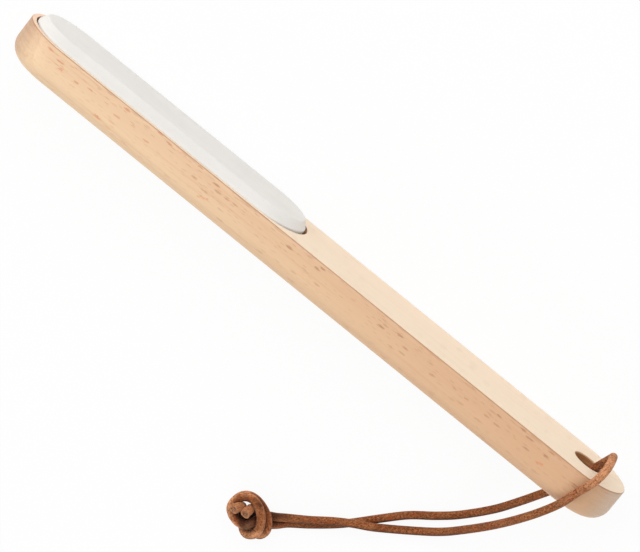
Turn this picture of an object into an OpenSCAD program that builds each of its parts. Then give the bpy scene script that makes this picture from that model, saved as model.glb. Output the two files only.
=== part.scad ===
// Foot file: a long beech handle with a bonded abrasive stone and a leather hanging cord.
// Millimetres. The file lies on one long edge: +X points to the stone's end of the handle,
// the stone faces -Y, +Z is up. The origin is on the resting edge, at mid length and mid thickness.

/* [Handle] */
// Overall length of the wooden handle
handle_l = 260; // [220:1:320]
// Width of the handle across its stone face; both ends are half circles of this width
handle_w = 34; // [34:0.5:44]
// Thickness of the handle from its stone face to its back
handle_t = 14.5; // [12:0.5:20]
// Radius of the rounded edge all round the back
back_r = 6; // [3:0.5:8]
// Radius of the slight break on the crisp edge of the stone face
front_break = 0.4; // [0.2:0.1:1]

/* [Recess] */
// Depth of the pocket that holds the stone
recess_depth = 3.5; // [2:0.5:6]
// Wood left between the pocket and the tip of the handle
recess_rim = 1.8; // [1.5:0.1:6]
// Thickness of the adhesive under the stone
adhesive_t = 0.4; // [0.2:0.1:1]

/* [Stone] */
// Length of the abrasive stone
stone_l = 116.6; // [80:0.1:150]
// Width of the abrasive stone at its base
stone_w = 31.4; // [24:0.1:31.4]
// Height that the stone stands out of the stone face
stone_proud = 3.3; // [1.5:0.1:6]
// Upright wall of the stone above the stone face
stone_wall = 0.4; // [0.2:0.1:1.2]
// Width of the sloping border between the upright wall and the flat top, along the stone's sides
stone_border = 4.5; // [2:0.1:8]
// Width of the sloping border at the stone's two tips
stone_tip_border = 2; // [1:0.1:5]
// Radius that softens the lower edge of the sloping border
stone_edge_r = 0.6; // [0.3:0.1:1.2]
// Radius that softens the ridge round the flat top
stone_ridge_r = 2; // [1:0.5:4]
// Open gap between the stone and the pocket's end that is nearer to the handle's tip
stone_tip_gap = 0.7; // [0.3:0.1:2]
// Open gap between the stone and the pocket's other end
stone_inner_gap = 1.1; // [0.3:0.1:2]
// Open gap along the stone's two sides
stone_side_gap = 0.1; // [0.1:0.1:1]

/* [Cord hole] */
// Diameter of the hole for the cord
hole_d = 10.5; // [8:0.5:14]
// Distance from the handle's cord end to the middle of the hole
hole_inset = 16; // [14:0.5:24]
// Broken edge at both mouths of the hole
hole_break = 0.4; // [0.2:0.1:1]

/* [Cord] */
// Diameter of the leather cord
cord_d = 3; // [2:0.1:3]
// Height from one layer of cord in the knot to the next
knot_layer = 3.1; // [3.1:0.1:4]

/* [Hidden] */
// Overrun of every cut past the surface that it opens
cut = 1;
// Segments in a full circle, round both ends of the stone and in a profile's corner, and sides of the cord
round_fn = 96;
stone_fn = 64;
corner_steps = 8;
cord_sides = 8;
// Rings of the cord from one route point to the next
cord_steps = 3;

handle_r = handle_w / 2;
face_y = -handle_t / 2;
stone_r = stone_w / 2;
stone_h = recess_depth - adhesive_t + stone_proud;
recess_r = stone_r + stone_side_gap;
recess_l = stone_l + stone_tip_gap + stone_inner_gap;
recess_x = handle_l / 2 - recess_rim - recess_l / 2;
stone_x = recess_x + (stone_inner_gap - stone_tip_gap) / 2;
hole_x = hole_inset - handle_l / 2;
cord_r = cord_d / 2;

// Place of the knot on the surface that the file lies on, and the turn of its own right-hand axis
knot_x = -33.5;
knot_y = 87.5;
knot_turn = 220;

// Both ends of the cord, inside the knot, from its entry to the cut end:
// right, up and cord layers above the surface, seen from above with the loop leaving to the right
knot_upper = [
    [14, -2, 0.7], [10, -2, 0.3], [6.5, -1.6, 0], [5.6, -1.8, 0.15], [4.4, -2.1, 0.9],
    [3, -2.7, 1.6], [1.5, -3.4, 2.1], [0, -3.6, 2.15], [-2, -2.9, 2.15], [-3.7, -1, 2.1],
    [-4.8, 2.5, 2.1], [-2.6, 5.5, 2], [1.3, 6.3, 2], [4.2, 4.3, 2], [5.8, 0.6, 2.1],
    [5.6, -3.5, 2.1], [3.7, -6.8, 1.9], [0, -7.7, 1.1], [-2, -6.3, 0.2], [-2.1, -3, 0],
    [-2, 0, 0.5], [-1.5, 2, 1], [-1, 2.7, 1.7], [-1.1, 3, 2.4], [-2, 3.2, 3],
    [-2.9, 2.8, 3.5]
];
knot_lower = [
    [14, -4.5, 0], [10, -5, 0], [6.5, -5, 0], [3.5, -5, 0.7], [0.5, -4.5, 1.15],
    [-2.5, -3.3, 1.05], [-5, -1, 1.05], [-5, 2.5, 1.05], [-2.5, 5.5, 1], [1, 6.2, 1],
    [4.2, 4.2, 1], [6.7, 0.5, 1.1], [7.6, -3, 1.1], [6.8, -6.4, 1], [5, -7.8, 0.95],
    [3.1, -8.1, 0.4], [1.5, -6.5, 0], [1, -3, 0], [1.7, 0.2, 0.5], [1.9, 1.8, 1.5],
    [1.8, 1.8, 2.3], [0.9, 1, 3.2]
];

// Free stretches of the cord, from the middle of the hole to the knot
hole_mid = [-114, 0, 17];
front_run = [
    [-117.5, -8, 16.5], [-118.5, -11, 17], [-119.4, -14.3, 19.5], [-119.5, -16, 25],
    [-120, -15, 31], [-120.2, -12.6, 35], [-119.8, -9, 36], [-118.8, -5.5, 36],
    [-117.2, -1, 36], [-115, 6, 35.5], [-110, 16.5, 31.5], [-103, 29.5, 21.5],
    [-95, 42, 10.5], [-89.5, 49, 5], [-81.5, 56, 2], [-75, 60.5, 2.5], [-70, 63.3, 4.4],
    [-65, 66, 4.8], [-59, 70, 4.6], [-52.5, 75, 4.5]
];
rear_run = [
    [-111, 7.5, 17], [-108.5, 12.5, 15.5], [-104.5, 20.5, 11.5], [-99.5, 29.5, 7],
    [-92, 39.5, 3], [-86, 45.5, 1.5], [-78, 52, 1.5], [-71, 59.5, 1.5],
    [-62, 69.5, 1.5], [-53.5, 77, 1.5]
];

function unit(v) = v / norm(v);
function reversed(list) = [for (i = [len(list) - 1:-1:0]) list[i]];

// Points of an arc of radius r that rounds corner b between its neighbours a and c
function corner(a, b, c, r) =
    let (
        u = unit(a - b),
        v = unit(c - b),
        half = acos(u * v) / 2,
        centre = b + unit(u + v) * r / sin(half),
        start = b + u * r / tan(half) - centre,
        finish = b + v * r / tan(half) - centre,
        from = atan2(start.y, start.x),
        swing = atan2(start.x * finish.y - start.y * finish.x, start * finish)
    )
    [for (i = [0:corner_steps])
        centre + r * [cos(from + swing * i / corner_steps), sin(from + swing * i / corner_steps)]];

// Half section of the handle, from its long axis outwards and from its back upwards
handle_section = let (
        low = [handle_r, 0],
        high = [handle_r, handle_t]
    )
    concat([[0, 0]], corner([0, 0], low, high, back_r),
           corner(low, high, [0, handle_t], front_break), [[0, handle_t]]);
// Side of the stone at mid length, from its base up to its flat top
stone_side = let (
        low = [stone_r, 0],
        shoulder = [stone_r, stone_h - stone_proud + stone_wall],
        ridge = [stone_r - stone_border, stone_h]
    )
    concat([low], corner(low, shoulder, ridge, stone_edge_r),
           corner(shoulder, ridge, [0, stone_h], stone_ridge_r));

// A bar with half-round ends: its half section runs round both ends and along both sides
module round_bar(length, radius, section) {
    span = length - 2 * radius;
    mirrored = [for (p = reversed(section)) [-p.x, p.y]];
    for (side = [-1, 1])
        translate([side * span / 2, 0, 0]) rotate_extrude($fn = round_fn) polygon(section);
    rotate([90, 0, 90])
        linear_extrude(span, center = true) polygon(concat(section, mirrored));
}

// A closed solid through rings that hold the same number of points each, with flat ends
module ringed(rings) {
    around = len(rings[0]);
    last = len(rings) - 1;
    walls = [for (k = [0:last - 1], i = [0:around - 1])
        let (
            a = k * around + i,
            b = k * around + (i + 1) % around
        )
        each [[a, b + around, b], [a, a + around, b + around]]];
    first_face = [for (i = [0:around - 1]) i];
    last_face = [for (i = [around - 1:-1:0]) last * around + i];
    polyhedron([for (ring = rings) each ring], concat([first_face], walls, [last_face]));
}

// A flat disc with half-round ends
module slot_disc(length, radius, height) {
    span = length - 2 * radius;
    for (side = [-1, 1])
        translate([side * span / 2, 0, 0]) cylinder(height, r = radius, $fn = round_fn);
    translate([-span / 2, -radius, 0]) cube([span, 2 * radius, height]);
}

// Stands what is drawn flat, with its working side up, on its long edge
module on_edge() {
    translate([0, handle_t / 2, handle_r]) rotate([90, 0, 0]) children();
}

// Through hole with a broken edge at both mouths
module cord_hole() {
    mouth_d = hole_d + 2 * hole_break;
    translate([0, 0, -cut]) cylinder(handle_t + 2 * cut, d = hole_d, $fn = round_fn);
    translate([0, 0, handle_t - hole_break])
        cylinder(hole_break, d1 = hole_d, d2 = mouth_d, $fn = round_fn);
    translate([0, 0, handle_t]) cylinder(cut, d = mouth_d, $fn = round_fn);
    cylinder(hole_break, d1 = mouth_d, d2 = hole_d, $fn = round_fn);
    translate([0, 0, -cut]) cylinder(cut, d = mouth_d, $fn = round_fn);
}

module handle() {
    color([0.90, 0.75, 0.58])
        on_edge() difference() {
            round_bar(handle_l, handle_r, handle_section);
            translate([recess_x, 0, handle_t - recess_depth])
                slot_disc(recess_l, recess_r, recess_depth + cut);
            translate([hole_x, 0, 0]) cord_hole();
        }
}

module adhesive_bed() {
    color([0.86, 0.80, 0.66])
        on_edge() translate([stone_x, 0, handle_t - recess_depth])
            slot_disc(stone_l, stone_r, adhesive_t);
}

// The stone's outline at the height of point p of its side: half ellipses round both ends,
// drawn in less at the tips than along the sides
function stone_outline(p) =
    let (
        span = stone_l - 2 * stone_r,
        reach = stone_r - (stone_r - p.x) * stone_tip_border / stone_border,
        half = stone_fn / 2
    )
    [for (end = [1, -1], i = [0:half])
        let (turn = 180 * i / half - 90)
        [end * (span / 2 + reach * cos(turn)), end * p.x * sin(turn), p.y]];

module abrasive_stone() {
    color([0.92, 0.91, 0.89])
        on_edge() translate([stone_x, 0, handle_t - recess_depth + adhesive_t])
            ringed([for (p = stone_side) stone_outline(p)]);
}

// A knot point in the part's own frame
function placed(p) = [
    knot_x + p.x * cos(knot_turn) - p.y * sin(knot_turn),
    knot_y + p.x * sin(knot_turn) + p.y * cos(knot_turn),
    cord_r + p.z * knot_layer
];

// The whole cord is one piece: from its lower cut end through the knot, along the rear stretch,
// through the hole, back along the front stretch and through the knot to its upper cut end
route = concat(
    reversed([for (p = knot_lower) placed(p)]), reversed(rear_run), [hole_mid],
    front_run, [for (p = knot_upper) placed(p)]
);
rear_at = (len(knot_lower) - 1) * cord_steps;
hole_at = (len(knot_lower) + len(rear_run)) * cord_steps;
front_at = hole_at + (len(front_run) + 1) * cord_steps;

// A smooth curve through the route's points, kept at or above the surface below it
function along(pts, i, t) =
    let (
        last = len(pts) - 1,
        a = pts[max(i - 1, 0)],
        b = pts[i],
        c = pts[min(i + 1, last)],
        d = pts[min(i + 2, last)],
        p = (2 * b + (c - a) * t + (2 * a - 5 * b + 4 * c - d) * t * t
            + (3 * b - a - 3 * c + d) * t * t * t) / 2
    )
    [p.x, p.y, max(p.z, cord_r)];
line = [for (k = [0:(len(route) - 1) * cord_steps])
    along(route, floor(k / cord_steps), k / cord_steps - floor(k / cord_steps))];
last_ring = len(line) - 1;
headings = [for (k = [0:last_ring]) unit(line[min(k + 1, last_ring)] - line[max(k - 1, 0)])];

// The cord's section turns as little as it can from ring to ring
function square_to(v, heading) = unit(v - (v * heading) * heading);
sideways = [for (k = 0, s = square_to([0, 0, 1], headings[0]); k <= last_ring;
    k = k + 1, s = k <= last_ring ? square_to(s, headings[k]) : s) s];

// One length of the cord, between two of its rings
module cord_length(from, to) {
    ringed([for (k = [from:to])
        let (across = cross(headings[k], sideways[k]))
        [for (i = [0:cord_sides - 1])
            let (turn = 360 * i / cord_sides)
            line[k] + cord_r * (cos(turn) * sideways[k] + sin(turn) * across)]]);
}

module cord_front() {
    color([0.66, 0.40, 0.24]) cord_length(hole_at, front_at);
}

module cord_rear() {
    color([0.58, 0.34, 0.20]) cord_length(rear_at, hole_at);
}

module cord_knot() {
    color([0.70, 0.44, 0.27]) {
        cord_length(0, rear_at);
        cord_length(front_at, last_ring);
    }
}

// Least distance from surface to surface between the two ends of the cord inside the knot
knot_gap = min([for (i = [0:rear_at], k = [front_at:last_ring]) norm(line[i] - line[k])]) - cord_d;
echo(knot_gap = knot_gap);

handle();
adhesive_bed();
abrasive_stone();
cord_front();
cord_rear();
cord_knot();
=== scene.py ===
"""Foot file: its finishes, its leather cord, the camera and the light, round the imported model.

Lengths are in metres, in the part's own frame: +X runs along the handle to the stone, -Y out of the
stone's face and +Z up from the long edge that the file lies on.
"""

import logging
import math
from dataclasses import dataclass, field
from enum import Enum
from typing import ClassVar

import bpy
import numpy as np
from mathutils import Color, Matrix, Vector, noise


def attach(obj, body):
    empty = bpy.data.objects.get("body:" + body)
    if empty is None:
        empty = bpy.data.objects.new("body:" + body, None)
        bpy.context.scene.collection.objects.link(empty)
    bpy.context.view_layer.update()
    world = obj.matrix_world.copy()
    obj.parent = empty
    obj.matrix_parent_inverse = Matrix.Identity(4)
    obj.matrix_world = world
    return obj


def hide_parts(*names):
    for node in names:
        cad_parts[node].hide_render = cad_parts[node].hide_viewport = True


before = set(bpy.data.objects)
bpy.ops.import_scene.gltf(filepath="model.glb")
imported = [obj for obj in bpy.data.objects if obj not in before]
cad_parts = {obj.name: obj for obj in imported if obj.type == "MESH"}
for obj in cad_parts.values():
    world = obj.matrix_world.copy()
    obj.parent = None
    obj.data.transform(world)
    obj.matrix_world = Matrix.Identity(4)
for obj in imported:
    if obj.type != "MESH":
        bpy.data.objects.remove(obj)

LOG = logging.getLogger("foot_file")
MM = 0.001

Rgb = tuple[int, int, int]
Pair = tuple[float, float]
Triple = tuple[float, float, float]
Route = tuple[Triple, ...]
Face = tuple[int, ...]
Socket = bpy.types.NodeSocket
Feed = Socket | float | tuple[float, ...]


def mm(*values: float) -> tuple[float, ...]:
    """Returns some millimetres in metres."""
    return tuple(value * MM for value in values)


def linear(colour: Rgb) -> tuple[float, float, float, float]:
    """Returns the linear colour, with an alpha of 1, of a display colour from 0 to 255."""
    shares = Color([value / 255 for value in colour])
    return *shares.from_srgb_to_scene_linear(), 1.0


def placed(name: str, data: bpy.types.ID) -> bpy.types.Object:
    """Puts a new object into the scene.

    Args:
        name: Its name.
        data: The mesh, camera or lamp that it shows.

    Returns:
        The object.
    """
    thing = bpy.data.objects.new(name, data)
    bpy.context.scene.collection.objects.link(thing)
    return thing


def smooth_mesh(name: str, points: list[Vector] | list[Triple], faces: list[Face]) -> bpy.types.Mesh:
    """Makes a smoothly shaded mesh.

    Args:
        name: Its name.
        points: Where its points are.
        faces: The numbers of each face's points.

    Returns:
        The mesh.
    """
    mesh = bpy.data.meshes.new(name)
    mesh.from_pydata(points, [], faces)
    mesh.polygons.foreach_set("use_smooth", [True] * len(faces))
    mesh.update()
    return mesh


def band(first: int, second: int, around: int) -> list[Face]:
    """Builds the faces between two closed rings of points.

    Args:
        first: The number of the first ring's first point.
        second: The number of the second ring's first point.
        around: How many points each ring has.

    Returns:
        The faces.
    """
    faces = []
    for place in range(around):
        after = (place + 1) % around
        faces.append((first + place, first + after, second + after, second + place))
    return faces


class Wear(Enum):
    """The kinds of wear and of painted light and shade. Each point of the leather has a share of each,
    from 0 to 1.
    """

    RUBBED = "rubbed"
    CREASED = "creased"
    SHELTERED = "sheltered"
    FRAYED = "frayed"


@dataclass(frozen=True)
class Step:
    """A smooth step between two values, as another number goes from one limit to the other.

    Attributes:
        start: The limit where the step begins. It may be the higher one.
        end: The limit where it is done.
        before: The value on the start's side.
        after: The value on the end's side.
    """

    start: float
    end: float
    before: float = 0.0
    after: float = 1.0

    def at(self, number: float) -> float:
        """Returns the step's value for a number."""
        share = min(max((number - self.start) / (self.end - self.start), 0.0), 1.0)
        return self.before + (self.after - self.before) * share * share * (3 - 2 * share)


@dataclass(frozen=True)
class Grain:
    """Smooth noise of one scale.

    Attributes:
        cell: The size of its lumps along each axis.
        step: The step that turns it into marks.
        detail: How many finer layers it has.
        distortion: How far its lumps are pulled out of shape.
    """

    cell: Triple
    step: Step = Step(0.0, 1.0)
    detail: float = 2.0
    distortion: float = 0.0


@dataclass(frozen=True)
class Dashes:
    """Short dashes scattered along the grain.

    Attributes:
        cell: The room that each dash has, longest along the grain.
        reach: Half length of a dash, as a share of its cell.
        bare: Share of the cells that hold no dash.
        share: How far their colour covers the wood.
    """

    cell: Triple
    reach: float
    bare: float
    share: float


class ShaderGraph:
    """The node tree of one material, or of the world, built with short calls."""

    def __init__(self, owner: bpy.types.Material | bpy.types.World) -> None:
        """Starts with an empty tree.

        Args:
            owner: The material or world that the tree belongs to.
        """
        owner.use_nodes = True
        self.owner = owner
        self.tree = owner.node_tree
        self.tree.nodes.clear()

    @classmethod
    def named(cls, name: str) -> "ShaderGraph":
        """Returns the empty tree of a new material with that name."""
        return cls(bpy.data.materials.new(name))

    def add(self, kind: str, feeds: dict[str | int, Feed], **settings: object) -> bpy.types.Node:
        """Adds a node.

        Args:
            kind: The node's type, without its ShaderNode prefix.
            feeds: The socket or value that goes into each input, by the input's name or number.
            **settings: The node's own properties.

        Returns:
            The new node.
        """
        node = self.tree.nodes.new("ShaderNode" + kind)
        for key, value in settings.items():
            setattr(node, key, value)
        for key, source in feeds.items():
            if isinstance(source, Socket):
                self.tree.links.new(source, node.inputs[key])
            else:
                node.inputs[key].default_value = source
        return node

    def place(self) -> Socket:
        """Returns the position on the surface."""
        return self.add("TexCoord", {}).outputs["Object"]

    def lie(self) -> Socket:
        """Returns the position in the leather, as the cord's mesh holds it."""
        return self.add("Attribute", {}, attribute_name="lie").outputs["Vector"]

    def wear(self, kind: Wear) -> Socket:
        """Returns one of the cord's shares of wear and painted light and shade, as its mesh holds it."""
        return self.add("Attribute", {}, attribute_name=kind.value).outputs["Fac"]

    def axes(self, vector: Socket) -> list[Socket]:
        """Returns a vector's X, Y and Z."""
        return list(self.add("SeparateXYZ", {0: vector}).outputs)

    def facing(self, axis: int) -> Socket:
        """Returns how squarely the surface faces along an axis of the part, either way, from 0 to 1."""
        normal = self.add("TexCoord", {}).outputs["Normal"]
        return self.math("ABSOLUTE", self.axes(normal)[axis])

    def math(self, operation: str, first: Feed, second: Feed = 0.0) -> Socket:
        """Returns the result of one sum on two numbers."""
        return self.add("Math", {0: first, 1: second}, operation=operation).outputs[0]

    def times(self, *values: Feed) -> Feed:
        """Multiplies some numbers.

        Args:
            *values: Sockets or plain numbers, one at least.

        Returns:
            Their product.
        """
        product, *others = values
        for value in others:
            product = self.math("MULTIPLY", product, value)
        return product

    def distance(self, place: Socket, axes: tuple[int, int], middle: Pair) -> Socket:
        """Measures how far the surface lies from a line along the third axis.

        Args:
            place: The position on the surface.
            axes: The numbers of the two axes square to the line.
            middle: Where the line lies on those two axes.

        Returns:
            The distance.
        """
        parts = self.axes(place)
        offsets = {axis: self.math("SUBTRACT", parts[axis], at) for axis, at in zip(axes, middle)}
        across = self.add("CombineXYZ", offsets).outputs[0]
        return self.add("VectorMath", {0: across}, operation="LENGTH").outputs["Value"]

    def fade(self, number: Socket, step: Step) -> Socket:
        """Puts a number that changes over the surface through a step.

        Args:
            number: The number.
            step: The step.

        Returns:
            The step's value.
        """
        feeds = {
            "Value": number,
            "From Min": step.start,
            "From Max": step.end,
            "To Min": step.before,
            "To Max": step.after,
        }
        return self.add("MapRange", feeds, interpolation_type="SMOOTHSTEP").outputs[0]

    def in_cells(self, place: Socket, cell: Triple) -> Socket:
        """Returns a position counted in cells of that size."""
        counts = tuple(1 / side for side in cell)
        return self.add("VectorMath", {0: place, 1: counts}, operation="MULTIPLY").outputs[0]

    def noise(self, place: Socket, grain: Grain) -> Socket:
        """Makes smooth noise.

        Args:
            place: The position on the surface.
            grain: The noise's scale and form.

        Returns:
            The noise, from 0 to 1.
        """
        feeds = {
            "Vector": self.in_cells(place, grain.cell),
            "Scale": 1.0,
            "Detail": grain.detail,
            "Distortion": grain.distortion,
        }
        return self.add("TexNoise", feeds).outputs[0]

    def marks(self, place: Socket, grain: Grain) -> Socket:
        """Returns how far a grain's marks cover the surface."""
        return self.fade(self.noise(place, grain), grain.step)

    def drift(self, place: Socket, grain: Grain, span: float) -> Socket:
        """Returns a grain's noise spread over that span, half of it below 0."""
        return self.times(self.math("SUBTRACT", self.noise(place, grain), 0.5), span)

    def scatter(self, counted: Socket) -> bpy.types.Node:
        """Returns a node of scattered points, one to a cell of a position counted in cells."""
        return self.add("TexVoronoi", {"Vector": counted, "Scale": 1.0})

    def tint(self, ground: Socket | Rgb, tone: Socket | Rgb, *shares: Feed) -> Socket:
        """Lays a tone over the ground.

        Args:
            ground: The colour below.
            tone: The colour above.
            *shares: Numbers from 0 to 1, whose product is how far the tone covers the ground.

        Returns:
            The mixed colour.
        """
        below, above = (
            colour if isinstance(colour, Socket) else linear(colour) for colour in (ground, tone)
        )
        feeds = {0: self.times(*shares), 6: below, 7: above}
        return self.add("Mix", feeds, data_type="RGBA").outputs[2]

    def dents(self, height: Socket, depth: float, below: Socket | None = None) -> Socket:
        """Gives the surface relief without changing its shape.

        Args:
            height: The relief, as a share of the depth.
            depth: The height of a share of 1.
            below: The normal of another relief that this one lies on.

        Returns:
            The normal.
        """
        feeds: dict[str | int, Feed] = {"Strength": 1.0, "Distance": depth, "Height": height}
        if below is not None:
            feeds["Normal"] = below
        return self.add("Bump", feeds).outputs[0]

    def finish(self, shader: bpy.types.Node) -> bpy.types.Material | bpy.types.World:
        """Puts a shader on the owner's surface.

        Args:
            shader: The shader's node.

        Returns:
            The owner.
        """
        kind = "OutputWorld" if isinstance(self.owner, bpy.types.World) else "OutputMaterial"
        self.add(kind, {"Surface": shader.outputs[0]})
        return self.owner

    def surface(
        self, colour: Socket, roughness: float, relief: Socket, gloss: dict[str, Feed] | None = None
    ) -> bpy.types.Material:
        """Gives the material its surface.

        Args:
            colour: Its colour.
            roughness: How rough it is, from 0 to 1.
            relief: The normal of its surface.
            gloss: Values of the shader's other inputs, by name.

        Returns:
            The material.
        """
        feeds = {"Base Color": colour, "Roughness": roughness, "Normal": relief, **(gloss or {})}
        return self.finish(self.add("BsdfPrincipled", feeds))


@dataclass(frozen=True)
class Beech:
    """Bare sanded beech with its grain along X, its rays upright and its growth rings lying flat.

    The long edges show the rays' ends as short dark dashes, the stone's face and the back are given a
    paler tone, and the two ends show dull end grain. Painted shade darkens the bar toward its tail, along
    a thin line beside the arris and on the hole's wall. A step's name says what it goes by: the place
    along X or Y, how squarely the surface faces along X or Y, or how far the surface is the stone's face
    or the back.
    """

    rosy: Rgb = (236, 200, 164)
    golden: Rgb = (238, 206, 168)
    face_tone: Rgb = (251, 230, 203)
    rim_tone: Rgb = (248, 202, 170)
    late_wood_and_shade: Rgb = (210, 162, 122)
    dash: Rgb = (158, 102, 66)
    ember: Rgb = (216, 124, 80)
    end_tone: Rgb = (198, 161, 130)
    outer_tone: Rgb = (228, 206, 184)
    bore_shade_tone: Rgb = (150, 92, 46)
    bore_shade_pale: Rgb = (176, 126, 76)

    face_share: float = 0.97
    ring_share: float = 0.13
    end_share: float = 0.7
    arris_streak_share: float = 0.45
    pore_share: float = 0.3

    tail_shade_by_x: Step = Step(110 * MM, -130 * MM, 0.0, 0.75)
    rim_by_x: Step = Step(108 * MM, 126 * MM, 0.0, 0.6)
    outer_by_x: Step = Step(-120 * MM, -129 * MM, 0.0, 0.55)
    head_by_x: Step = Step(30 * MM, 85 * MM, 0.0, 0.85)
    golden_by_y: Step = Step(-6 * MM, 4 * MM)
    back_by_y: Step = Step(0.0, 4 * MM)
    flecked_by_y: Step = Step(2 * MM, -4 * MM, 0.4, 1.0)

    end_by_x_facing: Step = Step(0.35, 0.95)
    plain_by_x_facing: Step = Step(0.1, 0.5)
    face_by_y_facing: Step = Step(0.6, 0.95)
    rounded_by_y_facing: Step = Step(0.84, 1.0, 1.0, 0.4)

    lines_by_face: Step = Step(0.0, 1.0, 1.0, 0.55)
    dashes_by_face: Step = Step(0.0, 1.0, 1.0, 0.12)
    embers_by_face: Step = Step(0.0, 1.0, 1.0, 0.0)
    arris_by_face: Step = Step(0.0, 0.4, 0.6, 0.0)
    bore_by_face: Step = Step(0.1, 0.5, 0.9, 0.0)

    arris: float = -7.0 * MM
    arris_shade_width: float = 0.4 * MM
    arris_reach: float = 2.2 * MM
    hole: Pair = mm(-114, 17)
    hole_radius: float = 5.25 * MM
    hole_rim: float = 0.4 * MM
    pith: Pair = mm(14, -62)
    ring_spacing: float = 2.1 * MM
    ring_waver: float = 1.3 * MM
    ring_rise: Step = Step(0.2, 0.9)
    ring_end: Step = Step(0.92, 1.0, 1.0, 0.0)

    tones: Grain = Grain(mm(26, 5, 9), detail=3.0)
    tone_span: float = 14 * MM
    wavers: Grain = Grain(mm(60, 12, 12))
    streaks: Grain = Grain(mm(34, 0.9, 0.9), Step(0.48, 0.72, 0.0, 0.28))
    fibres: Grain = Grain(mm(9, 0.3, 0.3), Step(0.45, 0.8, 0.0, 0.16), 3.0)
    arris_streaks: Grain = Grain(mm(7, 0.7, 5), Step(0.5, 0.62), 3.0)
    end_bands: Grain = Grain(mm(12, 1, 18), Step(0.5, 0.62, 0.0, 0.2))
    bore_bands: Step = Step(0.4, 0.6)
    pores: Grain = Grain(mm(0.35, 0.28, 0.28), Step(0.55, 0.7), 1.0)

    large_dashes: Dashes = Dashes(mm(6.6, 1.6, 15), 0.27, 0.22, 0.55)
    fine_dashes: Dashes = Dashes(mm(4, 0.6, 9), 0.32, 0.25, 0.28)
    embers: Dashes = Dashes(mm(16, 5.5, 16), 0.13, 0.5, 0.6)
    dash_bends: Grain = Grain(mm(1.3, 0.5, 4))
    dash_bend: Pair = (0.35, 0.5)
    dash_core: float = 0.5
    dash_rim: float = 1.1
    dash_faintness: float = 0.3

    fibre_depth: float = 0.02 * MM
    pore_depth: float = 0.03 * MM
    roughness: float = 0.55

    def material(self) -> bpy.types.Material:
        """Makes the finish.

        Returns:
            The material.
        """
        graph = ShaderGraph.named("sanded_beech")
        place = graph.place()
        endways, squarely = graph.facing(0), graph.facing(1)
        end = graph.fade(endways, self.end_by_x_facing)
        face = graph.fade(squarely, self.face_by_y_facing)
        colour = self.ground(graph, place, squarely, face)
        shown = graph.fade(face, self.lines_by_face)
        rings = graph.times(self.rings(graph, place), self.ring_share)
        fibres = graph.noise(place, self.fibres)
        for lines in (rings, graph.marks(place, self.streaks), graph.fade(fibres, self.fibres.step)):
            colour = graph.tint(colour, self.late_wood_and_shade, lines, shown)
        plain = graph.math("MAXIMUM", face, graph.fade(endways, self.plain_by_x_facing))
        dashes, colour = self.dashed(graph, place, plain, colour)
        colour = self.sawn(graph, place, end, colour)
        colour = self.edged(graph, place, face, colour)
        colour = self.drilled(graph, place, face, colour)
        pores = graph.times(graph.marks(place, self.pores), end)
        colour = graph.tint(colour, self.dash, pores, self.pore_share)
        solid = graph.math("SUBTRACT", 1.0, graph.math("MAXIMUM", dashes, pores))
        relief = graph.dents(solid, self.pore_depth, graph.dents(fibres, self.fibre_depth))
        return graph.surface(colour, self.roughness, relief)

    def ground(self, graph: ShaderGraph, place: Socket, squarely: Socket, face: Socket) -> Socket:
        """Mixes the plain wood: rosy by the stone's face, golden by the back, with painted shade toward
        the tail.

        Args:
            graph: The material that it goes into.
            place: The position on the surface.
            squarely: How squarely the surface faces along Y.
            face: How far the surface is the stone's face or the back, which are paler.

        Returns:
            The wood's colour.
        """
        x, y, _ = graph.axes(place)
        mottled = graph.math("ADD", y, graph.drift(place, self.tones, self.tone_span))
        colour = graph.tint(self.rosy, self.golden, graph.fade(mottled, self.golden_by_y))
        # Painted shade: the late wood's tone darkens the bar more and more toward its tail.
        colour = graph.tint(colour, self.late_wood_and_shade, graph.fade(x, self.tail_shade_by_x))
        pale = graph.tint(self.face_tone, self.rim_tone, graph.fade(x, self.rim_by_x))
        behind = graph.fade(y, self.back_by_y)
        rounded = graph.times(behind, graph.fade(squarely, self.rounded_by_y_facing))
        return graph.tint(colour, pale, face, graph.math("SUBTRACT", 1.0, rounded), self.face_share)

    def rings(self, graph: ShaderGraph, place: Socket) -> Socket:
        """Finds the dense late wood: long lines along the bar, arcs on its end grain.

        Args:
            graph: The material that it goes into.
            place: The position on the surface.

        Returns:
            The share of late wood.
        """
        waver = graph.times(graph.noise(place, self.wavers), self.ring_waver)
        distance = graph.math("ADD", graph.distance(place, (1, 2), self.pith), waver)
        phase = graph.math("FRACT", graph.math("DIVIDE", distance, self.ring_spacing))
        return graph.times(graph.fade(phase, self.ring_rise), graph.fade(phase, self.ring_end))

    def dashed(
        self, graph: ShaderGraph, place: Socket, plain: Socket, ground: Socket
    ) -> tuple[Socket, Socket]:
        """Lays the rays' short dashes and a few larger reddish flecks over the wood.

        Args:
            graph: The material that they go into.
            place: The position on the surface.
            plain: How far the surface is the stone's face, the back or an end, where few show.
            ground: The colour below them.

        Returns:
            The share of the large dashes and the new colour.
        """
        x, y, _ = graph.axes(place)
        shown = graph.times(graph.fade(plain, self.dashes_by_face), graph.fade(y, self.flecked_by_y))
        embers = graph.times(self.spots(graph, place, self.embers), self.embers.share)
        colour = graph.tint(ground, self.ember, embers, graph.fade(plain, self.embers_by_face))
        fine = self.spots(graph, place, self.fine_dashes)
        colour = graph.tint(colour, self.dash, fine, shown, self.fine_dashes.share)
        large = graph.times(self.spots(graph, place, self.large_dashes), shown)
        tone = graph.tint(self.dash, self.ember, graph.fade(x, self.head_by_x))
        return large, graph.tint(colour, tone, large, self.large_dashes.share)

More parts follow.
